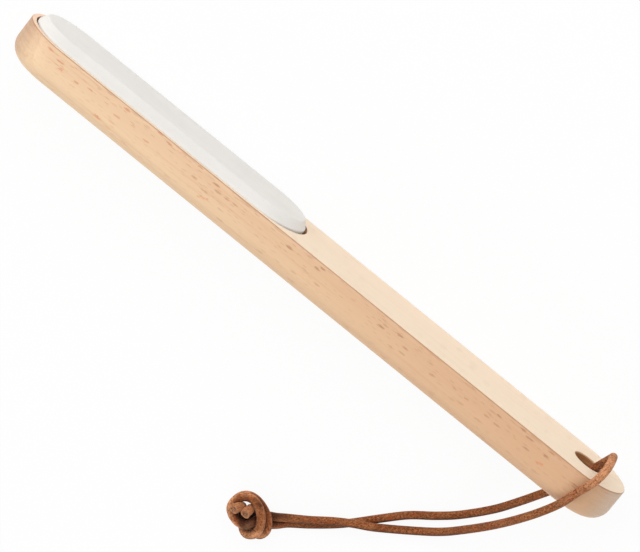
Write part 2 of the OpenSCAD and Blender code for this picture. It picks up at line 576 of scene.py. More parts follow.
    def spots(self, graph: ShaderGraph, place: Socket, dashes: Dashes) -> Socket:
        """Scatters dashes, each bent a little by the noise of dash_bends.

        Args:
            graph: The material that they go into.
            place: The position on the surface.
            dashes: Their kind.

        Returns:
            1 inside a dash and 0 outside it, with a soft edge.
        """
        bend = graph.noise(place, self.dash_bends)
        aside = {axis: graph.times(bend, reach) for axis, reach in enumerate(self.dash_bend)}
        shift = graph.add("CombineXYZ", aside).outputs[0]
        counted = {0: graph.in_cells(place, dashes.cell), 1: shift}
        found = graph.scatter(graph.add("VectorMath", counted, operation="ADD").outputs[0])
        edge = Step(dashes.reach * self.dash_core, dashes.reach * self.dash_rim, 1.0, 0.0)
        inside = graph.fade(found.outputs["Distance"], edge)
        lot = graph.add("SeparateColor", {0: found.outputs["Color"]}).outputs[0]
        return graph.times(inside, graph.fade(lot, Step(dashes.bare, dashes.bare + self.dash_faintness)))

    def sawn(self, graph: ShaderGraph, place: Socket, end: Socket, ground: Socket) -> Socket:
        """Lays the dull end grain over the wood, banded, and paler at the outermost cord end.

        Args:
            graph: The material that it goes into.
            place: The position on the surface.
            end: How far the surface is one of the two ends.
            ground: The colour below it.

        Returns:
            The new colour.
        """
        colour = graph.tint(ground, self.end_tone, end, self.end_share)
        colour = graph.tint(colour, self.dash, graph.marks(place, self.end_bands), end)
        outermost = graph.fade(graph.axes(place)[0], self.outer_by_x)
        return graph.tint(colour, self.outer_tone, outermost, end)

    def edged(self, graph: ShaderGraph, place: Socket, face: Socket, ground: Socket) -> Socket:
        """Paints a thin dark line of shade along the arris round the stone's face, and draws the short
        streaks beside it.

        Args:
            graph: The material that they go into.
            place: The position on the surface.
            face: How far the surface is the stone's face, where they end.
            ground: The colour below them.

        Returns:
            The new colour.
        """
        y = graph.axes(place)[1]
        aside = graph.fade(face, self.arris_by_face)
        # Painted shade: a thin dark line in the dash colour just beside the arris.
        line = graph.fade(y, Step(self.arris, self.arris + self.arris_shade_width, 1.0, 0.0))
        colour = graph.tint(ground, self.dash, line, aside)
        beside = Step(self.arris, self.arris + self.arris_reach, self.arris_streak_share, 0.0)
        streaks = graph.marks(place, self.arris_streaks)
        return graph.tint(colour, self.dash, streaks, graph.fade(y, beside), aside)

    def drilled(self, graph: ShaderGraph, place: Socket, face: Socket, ground: Socket) -> Socket:
        """Paints shade on the drilled hole's wall: a darker, banded tone over the wood.

        Args:
            graph: The material that it goes into.
            place: The position on the surface.
            face: How far the surface is the stone's face or the back, which stay as they are.
            ground: The colour below it.

        Returns:
            The new colour.
        """
        distance = graph.distance(place, (0, 2), self.hole)
        rim = Step(self.hole_radius, self.hole_radius + self.hole_rim, 1.0, 0.0)
        bands = graph.fade(graph.noise(place, self.end_bands), self.bore_bands)
        # Painted shade: the hole's wall is darkened, in darker and paler bands.
        wall = graph.tint(self.bore_shade_tone, self.bore_shade_pale, bands)
        return graph.tint(ground, wall, graph.fade(distance, rim), graph.fade(face, self.bore_by_face))


@dataclass(frozen=True)
class AbrasiveGrit:
    """Matte off-white sintered stone with a fine even grit."""

    body: Rgb = (234, 231, 226)
    shade: Rgb = (226, 223, 218)
    speck: Rgb = (198, 192, 184)
    patches: Grain = Grain(mm(22, 9, 9), Step(0.3, 0.75, 0.0, 0.5))
    grit: Grain = Grain(mm(0.45, 0.45, 0.45), Step(0.4, 0.75, 0.0, 0.35), 3.0)
    pit_cell: Triple = mm(1.1, 1.1, 1.1)
    pit_edge: Step = Step(0.06, 0.16, 1.0, 0.0)
    pit_share: float = 0.35
    grit_depth: float = 0.05 * MM
    roughness: float = 0.92

    def material(self) -> bpy.types.Material:
        """Makes the finish.

        Returns:
            The material.
        """
        graph = ShaderGraph.named("abrasive_grit")
        place = graph.place()
        colour = graph.tint(self.body, self.shade, graph.marks(place, self.patches))
        grit = graph.noise(place, self.grit)
        colour = graph.tint(colour, self.shade, graph.fade(grit, self.grit.step))
        pits = graph.scatter(graph.in_cells(place, self.pit_cell))
        hollow = graph.fade(pits.outputs["Distance"], self.pit_edge)
        colour = graph.tint(colour, self.speck, hollow, self.pit_share)
        relief = graph.dents(graph.math("SUBTRACT", grit, hollow), self.grit_depth)
        return graph.surface(colour, self.roughness, relief)


@dataclass(frozen=True)
class SetAdhesive:
    """Cured adhesive at the bottom of the pocket, brown with wood dust."""

    body: Rgb = (168, 134, 96)
    dust: Rgb = (118, 86, 60)
    lumps: Grain = Grain(mm(1.6, 1.6, 1.6), Step(0.35, 0.7), 3.0)
    lump_depth: float = 0.1 * MM
    roughness: float = 0.45

    def material(self) -> bpy.types.Material:
        """Makes the finish.

        Returns:
            The material.
        """
        graph = ShaderGraph.named("set_adhesive")
        lumps = graph.noise(graph.place(), self.lumps)
        colour = graph.tint(self.body, self.dust, graph.fade(lumps, self.lumps.step))
        return graph.surface(colour, self.roughness, graph.dents(lumps, self.lump_depth))


@dataclass(frozen=True)
class SuedeLeather:
    """The cord's mottled suede skin: paler outside from wear and painted light and highlights, darker by
    painted shade in its folds, inside the knot and low on its unlit side, tan where it frays.
    """

    body: Rgb = (128, 73, 37)
    warm: Rgb = (168, 102, 57)
    rust: Rgb = (170, 80, 36)
    dark: Rgb = (56, 24, 11)
    rubbed: Rgb = (226, 160, 114)
    frayed: Rgb = (197, 136, 95)
    nap_sheen: Rgb = (250, 216, 190)

    rubbed_and_lit_share: float = 0.9
    crack_share: float = 0.4
    fold_shade_share: float = 0.6
    painted_shade_share: float = 0.88
    frayed_share: float = 0.9

    mottle: Grain = Grain(mm(0.7, 0.7, 0.95), Step(0.4, 0.62), 3.0, 0.5)
    stretches: Grain = Grain(mm(7, 7, 11), detail=1.0)
    stretch_span: float = 0.5
    rusty: Grain = Grain(mm(0.9, 0.9, 1.2), Step(0.5, 0.66, 0.0, 0.6), 2.0, 0.3)
    specks: Grain = Grain(mm(0.5, 0.5, 0.6), Step(0.53, 0.66, 0.0, 0.7))
    calm_by_rubbed_and_lit: Step = Step(0.35, 1.0, 1.0, 0.75)
    nap: Grain = Grain(mm(0.24, 0.24, 0.3), Step(0.52, 0.72, 0.0, 0.4))
    nap_tips: Step = Step(0.28, 0.45, 0.35, 0.0)
    cracks: Grain = Grain(mm(0.8, 0.8, 1.7), Step(0.44, 0.5), 2.0, 0.6)
    crack_end: Step = Step(0.5, 0.56, 1.0, 0.0)
    fuzz_warm: Step = Step(0.4, 0.6, 0.0, 0.7)
    fuzz_body: Step = Step(0.5, 0.66, 0.0, 0.6)

    nap_depth: float = 0.06 * MM
    roughness: float = 0.85
    specular: float = 0.25
    sheen: float = 0.22
    sheen_roughness: float = 0.35

    def material(self) -> bpy.types.Material:
        """Makes the finish.

        Returns:
            The material.
        """
        graph = ShaderGraph.named("suede_leather")
        place = graph.lie()
        drift = graph.drift(place, self.stretches, self.stretch_span)
        mottle = graph.math("ADD", graph.noise(place, self.mottle), drift)
        colour = graph.tint(self.body, self.warm, graph.fade(mottle, self.mottle.step))
        rubbed = graph.wear(Wear.RUBBED)
        calm = graph.fade(rubbed, self.calm_by_rubbed_and_lit)
        rusty = graph.math("SUBTRACT", graph.noise(place, self.rusty), drift)
        specks = graph.noise(place, self.specks)
        nap = graph.noise(place, self.nap)
        cracks = graph.noise(place, self.cracks)
        crack = graph.times(graph.fade(cracks, self.cracks.step), graph.fade(cracks, self.crack_end))
        fuzz = graph.tint(self.frayed, self.warm, graph.fade(specks, self.fuzz_warm))
        fuzz = graph.tint(fuzz, self.body, graph.fade(nap, self.fuzz_body))
        layers = (
            # Paler where the leather wears and where light is painted.
            (self.rubbed, rubbed, self.rubbed_and_lit_share),
            (self.rust, graph.fade(rusty, self.rusty.step), calm),
            (self.dark, graph.fade(specks, self.specks.step), calm),
            (self.dark, graph.fade(nap, self.nap.step)),
            (self.rubbed, graph.fade(nap, self.nap_tips)),
            (self.dark, crack, self.crack_share),
            # Painted shade: darker on the inside of the cord's bends.
            (self.dark, graph.wear(Wear.CREASED), self.fold_shade_share),
            # Painted shade: darker where the skin faces into the knot, inside its ring and low on the
            # side away from the key lamp.
            (self.dark, graph.wear(Wear.SHELTERED), self.painted_shade_share),
            (fuzz, graph.wear(Wear.FRAYED), self.frayed_share),
        )
        for tone, *shares in layers:
            colour = graph.tint(colour, tone, *shares)
        gloss = {
            "Specular IOR Level": self.specular,
            "Sheen Weight": self.sheen,
            "Sheen Roughness": self.sheen_roughness,
            "Sheen Tint": linear(self.nap_sheen),
        }
        relief = graph.dents(graph.math("SUBTRACT", nap, crack), self.nap_depth)
        return graph.surface(colour, self.roughness, relief, gloss)


@dataclass(frozen=True)
class CutLeather:
    """The fibrous core that shows where the cord is cut off: tan strands round dark open pits."""

    body: Rgb = (158, 104, 68)
    fibre: Rgb = (216, 158, 118)
    pit: Rgb = (84, 46, 27)
    fibres: Grain = Grain(mm(0.45, 0.45, 0.45), Step(0.45, 0.65), 4.0, 0.8)
    pits: Grain = Grain(mm(0.5, 0.5, 0.5), Step(0.47, 0.56), 2.0, 0.5)
    pits_by_rim: Step = Step(0.6, 0.95, 1.0, 0.0)
    pit_share: float = 0.85
    fibre_depth: float = 0.15 * MM
    roughness: float = 0.9

    def material(self) -> bpy.types.Material:
        """Makes the finish.

        Returns:
            The material.
        """
        graph = ShaderGraph.named("cut_leather")
        place = graph.lie()
        fibres = graph.noise(place, self.fibres)
        colour = graph.tint(self.body, self.fibre, graph.fade(fibres, self.fibres.step))
        inner = graph.fade(graph.wear(Wear.FRAYED), self.pits_by_rim)
        pits = graph.times(graph.marks(place, self.pits), inner)
        colour = graph.tint(colour, self.pit, pits, self.pit_share)
        relief = graph.dents(graph.math("SUBTRACT", fibres, pits), self.fibre_depth)
        return graph.surface(colour, self.roughness, relief)


@dataclass
class SkinPoints:
    """The points of a cord's mesh, each with its place in the leather and its shares of wear and painted
    light and shade.
    """

    points: list[Vector] = field(default_factory=list)
    lies: list[float] = field(default_factory=list)
    wear: dict[Wear, list[float]] = field(default_factory=lambda: {kind: [] for kind in Wear})

    def add(self, point: Vector, lie: Vector, wear: dict[Wear, float]) -> None:
        """Adds one point.

        Args:
            point: Where it is.
            lie: Its place round and along the cord.
            wear: Its shares of wear and painted light and shade, where they aren't 0.
        """
        self.points.append(point)
        self.lies.extend(lie)
        for kind, values in self.wear.items():
            values.append(wear.get(kind, 0.0))

    def mesh(self, name: str, faces: list[Face]) -> bpy.types.Mesh:
        """Makes the cord's mesh, with every kind of wear and painted light and shade, and the place in
        the leather, as point values.

        Args:
            name: Its name.
            faces: The numbers of each face's points.

        Returns:
            The mesh.
        """
        mesh = smooth_mesh(name, self.points, faces)
        for kind, values in self.wear.items():
            mesh.attributes.new(kind.value, "FLOAT", "POINT").data.foreach_set("value", values)
        mesh.attributes.new("lie", "FLOAT_VECTOR", "POINT").data.foreach_set("vector", self.lies)
        return mesh


class CordEnd(Enum):
    """The two lengths of the one cord, which meet in the middle of the hole."""

    UPPER = "leather_cord_upper"
    LOWER = "leather_cord_lower"


@dataclass
class HangingCord:
    """One leather cord through the hole, tied to itself in a doubled overhand knot.

    The route's points are the part's own, in millimetres, and so are the knot's place and its layers'
    height. A point of the knot is its place to the right and up, seen from above with the loop leaving
    to the right, and its height in cord layers.
    """

    diameter: float = 3.0 * MM
    upper_length: float = 242.9 * MM
    lower_length: float = 182.0 * MM
    knot_place: Pair = (-33.5, 87.5)
    knot_turn: float = math.radians(220)
    knot_layer: float = 3.1
    route_steps: int = 12
    ring_step: float = 0.3 * MM
    sides: int = 36
    ease: float = 0.7 * MM

    bend_span: float = 1.2 * MM
    bend_gain: float = 2.2
    swell: float = 0.03 * MM
    swell_cell: float = 3.2 * MM
    grain: float = 0.022 * MM
    grain_cell: float = 0.75 * MM
    crease: float = 0.11 * MM
    crease_step: float = 1.15 * MM
    crease_waver: float = 1.4
    crease_waver_cell: float = 2 * MM
    squeeze_by_left: Step = Step(68 * MM, 54.4 * MM, 0.0, 0.08)
    flare_by_left: Step = Step(5 * MM, 0.0, 0.0, 0.16)
    fray_by_left: Step = Step(6.5 * MM, 4.2 * MM)
    rim_length: float = 0.22 * MM
    rim_loss: float = 0.13
    ragged: float = 0.16 * MM
    ragged_cell: float = 1.1 * MM
    tear_depth: float = 0.28 * MM
    tear_cell: float = 0.5 * MM
    tear_level: float = 0.3
    cut_shares: tuple[float, ...] = (0.9, 0.75, 0.6, 0.45, 0.3, 0.12)

    bend_rub_power: float = 1.4
    outward_rub: float = 0.75
    fold_shade_power: float = 1.5
    heart: Triple = mm(-35.7, 80.4, 9.5)
    facing_by_heart: Step = Step(15 * MM, 10.5 * MM)
    fold: Triple = mm(-119.5, -12, 34)
    worn_and_lit_by_fold: tuple[Step, Step] = (Step(24 * MM, 2 * MM, 0.0, 0.7), Step(9 * MM, 3 * MM, 0.0, 0.3))
    highlight_by_facing: Step = Step(-1.2, 0.2)
    lit_side: Triple = (0.45, -0.55, 0.7)
    shade_by_facing: Step = Step(0.6, -0.25, 0.0, 0.9)
    shade_by_height: Step = Step(20 * MM, 8 * MM)
    shade_by_heart: Step = Step(11 * MM, 16 * MM)
    paler_by_left_side: Step = Step(2.0, 4.5)
    paler_by_low_side: Step = Step(4.5, 7.0)
    paler_by_distance: Step = Step(14.0, 11.0)
    paler_by_facing: Step = Step(-0.3, 0.5, 0.0, 0.5)
    ring_middle: Pair = (1.0, -2.4)
    ring_reach: Pair = (3.0, 3.2)
    enclosed_by_ring: Step = Step(1.2, 0.8, 0.0, 0.9)
    enclosed_by_height: Step = Step(11 * MM, 9.9 * MM)

    KNOT_UPPER: ClassVar[Route] = (
        (14, -2, 0.7), (10, -2, 0.3), (6.5, -1.6, 0), (5.6, -1.8, 0.15), (4.4, -2.1, 0.9),
        (3, -2.7, 1.6), (1.5, -3.4, 2.1), (0, -3.6, 2.15), (-2, -2.9, 2.15), (-3.7, -1, 2.1),
        (-4.8, 2.5, 2.1), (-2.6, 5.5, 2), (1.3, 6.3, 2), (4.2, 4.3, 2), (5.8, 0.6, 2.1),
        (5.6, -3.5, 2.1), (3.7, -6.8, 1.9), (0, -7.7, 1.1), (-2, -6.3, 0.2), (-2.1, -3, 0),
        (-2, 0, 0.5), (-1.5, 2, 1), (-1, 2.7, 1.7), (-1.1, 3, 2.4), (-2, 3.2, 3),
        (-2.9, 2.8, 3.5),
    )
    KNOT_LOWER: ClassVar[Route] = (
        (14, -4.5, 0), (10, -5, 0), (6.5, -5, 0), (3.5, -5, 0.7), (0.5, -4.5, 1.15),
        (-2.5, -3.3, 1.05), (-5, -1, 1.05), (-5, 2.5, 1.05), (-2.5, 5.5, 1), (1, 6.2, 1),
        (4.2, 4.2, 1), (6.7, 0.5, 1.1), (7.6, -3, 1.1), (6.8, -6.4, 1), (5, -7.8, 0.95),
        (3.1, -8.1, 0.4), (1.5, -6.5, 0), (1, -3, 0), (1.7, 0.2, 0.5), (1.9, 1.8, 1.5),
        (1.8, 1.8, 2.3), (0.9, 1, 3.2),
    )
    HOLE_MIDDLE: ClassVar[Triple] = (-114, 0, 17)
    FRONT_RUN: ClassVar[Route] = (
        (-117.5, -8, 16.5), (-118.5, -11, 17), (-119.4, -14.3, 19.5), (-119.5, -16, 25),
        (-120, -15, 31), (-120.2, -12.6, 35), (-119.8, -9, 36), (-118.8, -5.5, 36),
        (-117.2, -1, 36), (-115, 6, 35.5), (-110, 16.5, 31.5), (-103, 29.5, 21.5),
        (-95, 42, 10.5), (-89.5, 49, 5), (-81.5, 56, 2), (-75, 60.5, 2.5), (-70, 63.3, 4.4),
        (-65, 66, 4.8), (-59, 70, 4.6), (-52.5, 75, 4.5),
    )
    REAR_RUN: ClassVar[Route] = (
        (-111, 7.5, 17), (-108.5, 12.5, 15.5), (-104.5, 20.5, 11.5), (-99.5, 29.5, 7),
        (-92, 39.5, 3), (-86, 45.5, 1.5), (-78, 52, 1.5), (-71, 59.5, 1.5),
        (-62, 69.5, 1.5), (-53.5, 77, 1.5),
    )

    def knot_point(self, point: Triple) -> Triple:
        """Turns a point of the knot into the part's frame.

        Args:
            point: Its place to the right and up, and its height in cord layers.

        Returns:
            The point in millimetres.
        """
        right, up, layers = point
        cos, sin = math.cos(self.knot_turn), math.sin(self.knot_turn)
        x = self.knot_place[0] + right * cos - up * sin
        y = self.knot_place[1] + right * sin + up * cos
        return x, y, self.diameter / MM / 2 + layers * self.knot_layer

    def centreline(self) -> tuple[np.ndarray, int]:
        """Works out the line that the whole cord follows.

        Returns:
            The line's points, a ring step apart, from the lower cut end to the upper one, and the
            number of the point in the middle of the hole.
        """
        lower = [self.knot_point(point) for point in reversed(self.KNOT_LOWER)]
        lower += reversed(self.REAR_RUN)
        upper = [*self.FRONT_RUN, *(self.knot_point(point) for point in self.KNOT_UPPER)]
        route = np.array([*lower, self.HOLE_MIDDLE, *upper], float) * MM
        line = self.eased(self.even_steps(self.smooth_curve(route)))
        line[:, 2] = np.maximum(line[:, 2], self.diameter / 2)
        line = self.even_steps(line)
        hole = np.array(self.HOLE_MIDDLE) * MM
        return line, int(np.linalg.norm(line - hole, axis=1).argmin())

    def smooth_curve(self, route: np.ndarray) -> np.ndarray:
        """Draws the smooth curve through the route, as the part's own solid follows it.

        Args:
            route: The route's points.

        Returns:
            The curve's points, route_steps of them from each point of the route to the next.
        """
        padded = np.concatenate([route[:1], route, route[-1:]])
        share = np.arange(self.route_steps)[:, None] / self.route_steps
        pieces = []
        for a, b, c, d in zip(padded, padded[1:], padded[2:], padded[3:]):
            bend = 2 * a - 5 * b + 4 * c - d
            twist = 3 * b - a - 3 * c + d
            pieces.append((2 * b + (c - a) * share + bend * share**2 + twist * share**3) / 2)
        return np.concatenate([*pieces, route[-1:]])

    def even_steps(self, points: np.ndarray) -> np.ndarray:
        """Spaces a line's points a ring step apart.

        Args:
            points: The line.

        Returns:
            The same line with its new points.
        """
        lengths = np.linalg.norm(np.diff(points, axis=0), axis=1)
        along = np.concatenate([[0.0], np.cumsum(lengths)])
        stops = np.linspace(0.0, along[-1], round(along[-1] / self.ring_step) + 1)
        return np.stack([np.interp(stops, along, points[:, axis]) for axis in range(3)], axis=1)

    def eased(self, line: np.ndarray) -> np.ndarray:
        """Eases small kinks out of a line, as stiff leather lies, and keeps its ends.

        Args:
            line: The line, with its points a ring step apart.

        Returns:
            The eased line.
        """
        reach = round(3 * self.ease / self.ring_step)
        weights = np.exp(-0.5 * (np.arange(-reach, reach + 1) * self.ring_step / self.ease) ** 2)
        before = 2 * line[0] - line[reach:0:-1]
        after = 2 * line[-1] - line[-2 : -reach - 2 : -1]
        return self.averaged(np.concatenate([before, line, after]), weights / weights.sum(), "valid")

    def averaged(self, points: np.ndarray, weights: np.ndarray, mode: str) -> np.ndarray:
        """Returns each point's weighted mean with its neighbours, with the ends treated by that mode."""
        return np.stack([np.convolve(points[:, axis], weights, mode) for axis in range(3)], axis=1)

    def frames(self, line: np.ndarray) -> tuple[np.ndarray, np.ndarray, np.ndarray]:
        """Works out the line's heading and two directions square to it, which turn as little as they can.

        Args:
            line: The cord's centreline.

        Returns:
            The heading, the first side direction and the second side direction at each point.
        """
        headings = np.gradient(line, axis=0)
        headings /= np.linalg.norm(headings, axis=1)[:, None]
        first = np.zeros_like(headings)
        side = np.array([0.0, 0.0, 1.0])
        for place, heading in enumerate(headings):
            side = side - (side @ heading) * heading
            side /= np.linalg.norm(side)
            first[place] = side
        return headings, first, np.cross(headings, first)

    def bends(self, headings: np.ndarray) -> np.ndarray:
        """Works out how the cord bends.

        Args:
            headings: The line's heading at each point.

        Returns:
            At each point, a vector to the inside of the bend, 1 long where the bend is a radius tight.
        """
        turning = np.gradient(headings, axis=0) / self.ring_step
        width = round(self.bend_span / self.ring_step)
        return self.averaged(turning, np.ones(width) / width, "same") * self.diameter / 2

    def relief(self, lie: Vector, inside: float) -> float:
        """Works out how far the leather lies below a plain tube.

        Args:
            lie: The point's place round and along the cord.
            inside: How far the point is on the inside of a bend, from -1 to 1.

        Returns:
            The height above the plain tube, which is 0 or less.
        """
        height = self.swell * noise.noise(lie / self.swell_cell)
        height += self.grain * noise.noise(lie / self.grain_cell)
        if inside > 0:
            waver = self.crease_waver * noise.noise(lie / self.crease_waver_cell)
            fold = abs(math.sin(math.pi * lie.z / self.crease_step + waver))
            height -= self.crease * inside * (1 - fold) ** 2
        return min(height, 0.0)

    def skin(self, name: str, line: np.ndarray, start: int) -> bpy.types.Object:
        """Builds one length of the cord as a closed mesh.

        Args:
            name: The new piece's name.
            line: The length's centreline, from the middle of the hole to the cut end.
            start: The ring step in the leather where the length starts.

        Returns:
            The new piece.
        """
        headings, first, second = self.frames(line)
        inward = self.bends(headings)
        radius = self.diameter / 2
        skin = SkinPoints()
        for ring, centre in enumerate(line):
            along = (start + ring) * self.ring_step
            left = (len(line) - 1 - ring) * self.ring_step
            frayed = self.fray_by_left.at(left)
            growth = self.growth(left)
            for side in range(self.sides):
                turn = side * 2 * math.pi / self.sides
                out = math.cos(turn) * first[ring] + math.sin(turn) * second[ring]
                inside = float(np.clip(out @ inward[ring] * self.bend_gain, -1.0, 1.0))
                lie = Vector((math.cos(turn) * radius, math.sin(turn) * radius, along))
                ragged = frayed * self.ragged * noise.noise(lie / self.ragged_cell)
                point = Vector(centre + out * (radius + self.relief(lie, inside) + ragged) * growth)
                skin.add(point, lie, self.wear(point, out, inside) | {Wear.FRAYED: frayed})
        faces = []
        for ring in range(len(line) - 1):
            faces += band(ring * self.sides, (ring + 1) * self.sides, self.sides)
        wall_count = len(faces)
        faces += self.cut_face(skin, Vector(line[-1]), Vector(headings[-1]), start + len(line) - 1)
        finishes = [0] * wall_count + [1] * (len(faces) - wall_count)
        faces.append(tuple(reversed(range(self.sides))))
        mesh = skin.mesh(name, faces)
        mesh.polygons.foreach_set("material_index", [*finishes, 0])
        return placed(name, mesh)

    def growth(self, left: float) -> float:
        """Works out how thick the cord is: fatter in the knot, splayed at the cut and round at its rim.

        Args:
            left: How far the place is from the cut end.

        Returns:
            How many times its plain radius the cord has there.
        """
        rim = max(0.0, 1 - left / self.rim_length)
        rounding = self.rim_loss * (1 - math.sqrt(1 - rim**2))
        return (1 + self.squeeze_by_left.at(left) + self.flare_by_left.at(left)) * (1 - rounding)

    def cut_face(self, skin: SkinPoints, centre: Vector, heading: Vector, place: int) -> list[Face]:
        """Closes the cut end with rough rings of torn fibre.

        Args:
            skin: The mesh's points, of which the last ring is the cut's rim. The face's own are added.
            centre: The middle of the cut.
            heading: The way that the cut faces.
            place: The ring step in the leather where the cut lies.

        Returns:
            The new faces.
        """
        rim = len(skin.points) - self.sides
        faces: list[Face] = []
        outer = rim
        for share in self.cut_shares:
            inner = len(skin.points)
            for side in range(self.sides):
                turn = side * 2 * math.pi / self.sides
                lie = Vector((math.cos(turn), math.sin(turn), 0.0)) * (self.diameter / 2 * share)
                lie.z = place * self.ring_step
                torn = noise.noise(lie / self.tear_cell) - self.tear_level
                depth = torn * self.tear_depth * (1 - share**4)
                point = centre.lerp(skin.points[rim + side], share) + heading * depth
                skin.add(point, lie, {Wear.FRAYED: share})
            faces += band(outer, inner, self.sides)
            outer = inner
        faces.append(tuple(outer + side for side in range(self.sides)))
        return faces

    def wear(self, point: Vector, out: np.ndarray, inside: float) -> dict[Wear, float]:
        """Works out the wear, and the painted light and shade, at a point of the skin.

        Args:
            point: The point.
            out: The way that the skin faces there.
            inside: How far the point is on the inside of a bend, from -1 to 1.

        Returns:
            The share of each kind of wear and painted light and shade, but the fraying.
        """
        outward = self.outward(point, Vector(out))
        rubbed = max(0.0, -inside) ** self.bend_rub_power + max(0.0, outward) * self.outward_rub
        # Painted light: a highlight at the fold and light on the knot's left and low sides are added to
        # the wear.
        rubbed += self.worn_and_lit(point, out) + self.paler(point, out)
        return {
            Wear.RUBBED: min(1.0, rubbed),
            # Painted shade on the inside of the cord's bends.
            Wear.CREASED: max(0.0, inside) ** self.fold_shade_power,
            # Painted shade: the faces turned to the knot's heart, the leather inside its ring and the low
            # side turned from the key lamp.
            Wear.SHELTERED: max(-outward, self.enclosed(point), self.unlit_side_shade(point, out)),
        }

    def outward(self, point: Vector, facing: Vector) -> float:
        """Finds how far the leather there faces away from the knot's heart.

        Args:
            point: The point on the skin.
            facing: The way that the skin faces there.

        Returns:
            1 where it faces straight away, -1 straight in, and 0 everywhere far from the knot.
        """
        ray = point - Vector(self.heart)
        return self.facing_by_heart.at(ray.length) * facing.dot(ray.normalized())

    def worn_and_lit(self, point: Vector, out: np.ndarray) -> float:
        """Finds the wear at the cord's fold over the handle's edge, with a painted highlight there, most
        on its upper side.

        Args:
            point: The point on the skin.
            out: The way that the skin faces there.

        Returns:
            How much paler the wear and the painted highlight make the leather, from 0 to 1.
        """
        away = (point - Vector(self.fold)).length
        return sum(step.at(away) for step in self.worn_and_lit_by_fold) * self.highlight_by_facing.at(out[2])

    def unlit_side_shade(self, point: Vector, out: np.ndarray) -> float:
        """Finds the painted shade low on the cord, away from the knot's heart, on the side turned from
        the key lamp.

        Args:
            point: The point on the skin.
            out: The way that the skin faces there.

        Returns:
            How much shade is painted there, from 0 to 0.9.
        """
        away = (point - Vector(self.heart)).length
        low = self.shade_by_height.at(point.z) * self.shade_by_heart.at(away)
        return self.shade_by_facing.at(out @ np.array(self.lit_side)) * low

    def knot_side(self, point: Vector) -> Pair:
        """Turns a point of the part's frame into the knot's own.

        Args:
            point: The point.

        Returns:
            How far right and up of the knot's middle it lies, in millimetres.
        """
        across = point.xy / MM - Vector(self.knot_place)
        cos, sin = math.cos(self.knot_turn), math.sin(self.knot_turn)
        return across.x * cos + across.y * sin, across.y * cos - across.x * sin

    def paler(self, point: Vector, out: np.ndarray) -> float:
        """Finds the painted light on the knot's left and low sides, above all on top.

        Args:
            point: The point on the skin.
            out: The way that the skin faces there.

        Returns:
            How much paler the painted light makes the leather, from 0 to 0.5.
        """
        right, up = self.knot_side(point)
        aside = max(self.paler_by_left_side.at(-right), self.paler_by_low_side.at(-up))
        near = self.paler_by_distance.at(math.hypot(right, up))
        return aside * near * self.paler_by_facing.at(out[2])

    def enclosed(self, point: Vector) -> float:
        """Finds the leather that lies inside the knot's ring, where little light comes.

        Args:
            point: The point on the skin.

        Returns:
            How deep inside it lies, from 0 outside the ring to 0.9 in its middle.
        """
        right, up = self.knot_side(point)
        middle, reach = self.ring_middle, self.ring_reach
        away = math.hypot((right - middle[0]) / reach[0], (up - middle[1]) / reach[1])
        return self.enclosed_by_ring.at(away) * self.enclosed_by_height.at(point.z)

    def tie(self, leather: bpy.types.Material, cut: bpy.types.Material) -> list[bpy.types.Object]:
        """Args:
            leather: The finish of the cord's skin.
            cut: The finish of its cut ends.

        Returns:
            The two pieces.
        """
        line, hole = self.centreline()
        routes = {
            CordEnd.UPPER: (line[hole:], hole, self.upper_length, ("cord_front", "cord_knot")),
            CordEnd.LOWER: (line[hole::-1], -hole, self.lower_length, ("cord_rear", "cord_knot")),
        }
        pieces = []
        for end, (path, start, length, nodes) in routes.items():
            piece = self.skin(end.value, path, start)
            piece.data.materials.append(leather)
            piece.data.materials.append(cut)
            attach(piece, "loop")
            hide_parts(*nodes)
            pieces.append(piece)
        return pieces


